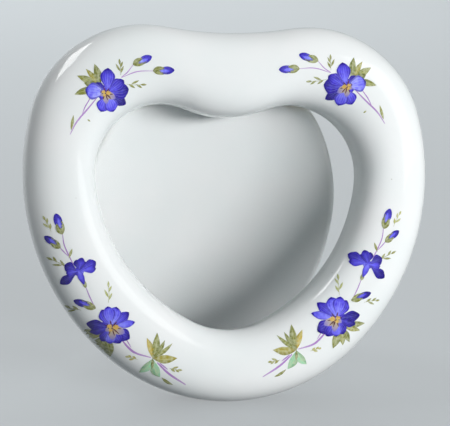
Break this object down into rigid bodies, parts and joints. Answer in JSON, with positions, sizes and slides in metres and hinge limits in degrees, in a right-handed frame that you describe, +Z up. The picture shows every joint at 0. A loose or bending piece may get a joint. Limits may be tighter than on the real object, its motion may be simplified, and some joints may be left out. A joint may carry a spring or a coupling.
{
  "type": "heart shaped photo frame",
  "caption": "Freestanding heart shaped photo frame: hollow glazed porcelain ring with a heart window and clear cover, on a concave porcelain easel leg that folds on a brass hinge.",
  "frame": {"origin": "middle of the flat that is ground under the ring, on the table", "axes": "+Z up from the table; the frame faces -Y and its easel leg stands towards +Y; +X to the right seen from the front"},
  "size_m": [0.1314, 0.0764, 0.1165],
  "materials": {
    "porcelain": "white glaze, high gloss",
    "brass": "satin",
    "fibre": "matte red fibre",
    "felt": "pressed felt",
    "acrylic": "clear polished sheet"
  },
  "bodies": {
    "frame": {"heart_ring": "porcelain", "hinge_bracket_left": "brass", "hinge_bracket_right": "brass", "hinge_pin": "brass", "pin_cap": "brass", "hinge_washers": "fibre", "stop_pad": "felt", "cover_sheet": "acrylic", "button_studs": "brass"},
    "leg": {"easel_leg": "porcelain"},
    "button_upper_left": {"turn_button_upper_left": "brass"},
    "button_upper_right": {"turn_button_upper_right": "brass"},
    "button_lower_left": {"turn_button_lower_left": "brass"},
    "button_lower_right": {"turn_button_lower_right": "brass"}
  },
  "joints": [
    {"name": "leg_fold", "type": "hinge", "parent": "frame", "child": "leg", "pos_m": [0, 0.03616, 0.09477], "axis": [1, 0, 0], "range_deg": [-26, 0]},
    {"name": "turn_upper_left", "type": "hinge", "parent": "frame", "child": "button_upper_left", "pos_m": [-0.0516, 0.02453, 0.07918], "axis": [0, 0.9659, -0.2588], "continuous": true},
    {"name": "turn_upper_right", "type": "hinge", "parent": "frame", "child": "button_upper_right", "pos_m": [0.0516, 0.02453, 0.07918], "axis": [0, 0.9659, -0.2588], "continuous": true},
    {"name": "turn_lower_left", "type": "hinge", "parent": "frame", "child": "button_lower_left", "pos_m": [-0.04599, 0.01455, 0.04194], "axis": [0, 0.9659, -0.2588], "continuous": true},
    {"name": "turn_lower_right", "type": "hinge", "parent": "frame", "child": "button_lower_right", "pos_m": [0.04599, 0.01455, 0.04194], "axis": [0, 0.9659, -0.2588], "continuous": true}
  ]
}
